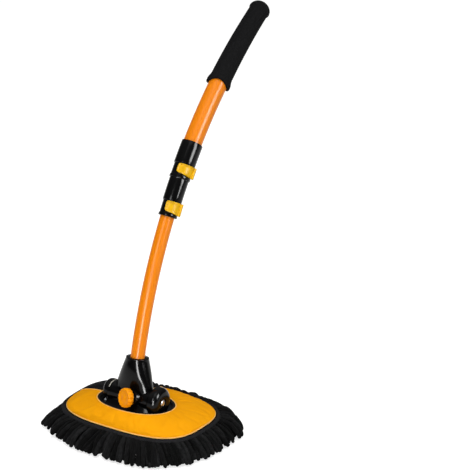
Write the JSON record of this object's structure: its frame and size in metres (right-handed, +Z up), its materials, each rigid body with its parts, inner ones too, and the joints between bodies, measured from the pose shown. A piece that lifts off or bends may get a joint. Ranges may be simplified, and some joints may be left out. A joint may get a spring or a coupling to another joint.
{
  "type": "car wash brush",
  "caption": "Oval chenille car wash pad with a domed orange fabric top, a tilting black neck with a lock knob, and a curved telescopic orange pole with flip-lever clamps and a foam grip",
  "frame": {"origin": "the middle of the wash face, on the ground plane that the strands' cut ends stand on", "axes": "+Z is up, away from the washed surface; X runs along the pad's long side; the pole leans and bends towards +Y"},
  "size_m": [0.2808, 0.3833, 0.5153],
  "materials": {
    "chenille": "matt black chenille yarn",
    "panel_fabric": "orange polyester knit",
    "trim_tape": "dark grey woven tape",
    "pad_foam": "grey open-cell foam",
    "shell_plastic": "black moulded polypropylene",
    "black_gloss": "polished black ABS",
    "knob_orange": "orange ABS, semi-gloss",
    "lever_yellow": "yellow ABS, semi-gloss",
    "tube_orange": "orange powder-coated aluminium tube",
    "tube_plain": "plain drawn aluminium tube",
    "steel": "zinc-plated steel",
    "nylon": "natural nylon",
    "rubber": "black rubber",
    "grip_foam": "matt black closed-cell foam"
  },
  "bodies": {
    "head": {"wash_face": "chenille", "fringe_front": "chenille", "fringe_back": "chenille", "foam_core": "pad_foam", "base_shell": "shell_plastic", "cover_panel": "panel_fabric", "opening_binding": "trim_tape", "seam_tape": "trim_tape", "turret_housing": "black_gloss", "hinge_pin": "steel", "hinge_pin_clip": "steel", "left_friction_washer": "nylon", "right_friction_washer": "nylon", "brake_shoe": "rubber", "housing_screw_1": "steel", "housing_screw_2": "steel", "housing_screw_3": "steel", "housing_screw_4": "steel"},
    "lock_knob": {"lock_knob": "knob_orange", "lock_knob_stud": "steel"},
    "neck": {"neck_socket": "black_gloss", "socket_screw": "steel", "lower_tube": "tube_orange", "lower_tube_guide": "nylon"},
    "middle": {"middle_tube": "tube_plain", "middle_tube_guide": "nylon", "lower_clamp_body": "black_gloss", "lower_clamp_pad": "rubber", "lower_lever_pin": "steel"},
    "lower_lever": {"lower_clamp_lever": "lever_yellow"},
    "upper": {"upper_tube": "tube_orange", "upper_clamp_body": "black_gloss", "upper_clamp_pad": "rubber", "upper_lever_pin": "steel", "grip_sleeve": "grip_foam", "grip_end_plug": "shell_plastic"},
    "upper_lever": {"upper_clamp_lever": "lever_yellow"}
  },
  "joints": [
    {"name": "neck_tilt", "type": "hinge", "parent": "head", "child": "neck", "pos_m": [0, -0.0145, 0.0555], "axis": [-1, 0, 0], "range_deg": [-8, 55]},
    {"name": "knob_turn", "type": "hinge", "parent": "head", "child": "lock_knob", "pos_m": [0.016, -0.0145, 0.0555], "axis": [-0.3712, -0.8918, 0.2588], "range_deg": [0, 270]},
    {"name": "lower_extend", "type": "hinge", "parent": "neck", "child": "middle", "pos_m": [0, 0.62604, -0.04723], "axis": [-1, 0, 0], "range_deg": [0, 18]},
    {"name": "upper_extend", "type": "hinge", "parent": "middle", "child": "upper", "pos_m": [0, 0.62604, -0.04723], "axis": [-1, 0, 0], "range_deg": [0, 16]},
    {"name": "lower_lever_flip", "type": "hinge", "parent": "middle", "child": "lower_lever", "pos_m": [0.01381, 0.07382, 0.28856], "axis": [0, 0.5196, 0.8544], "range_deg": [0, 110]},
    {"name": "upper_lever_flip", "type": "hinge", "parent": "upper", "child": "upper_lever", "pos_m": [0.01526, 0.10212, 0.33054], "axis": [0, 0.5849, 0.8111], "range_deg": [0, 110]}
  ]
}
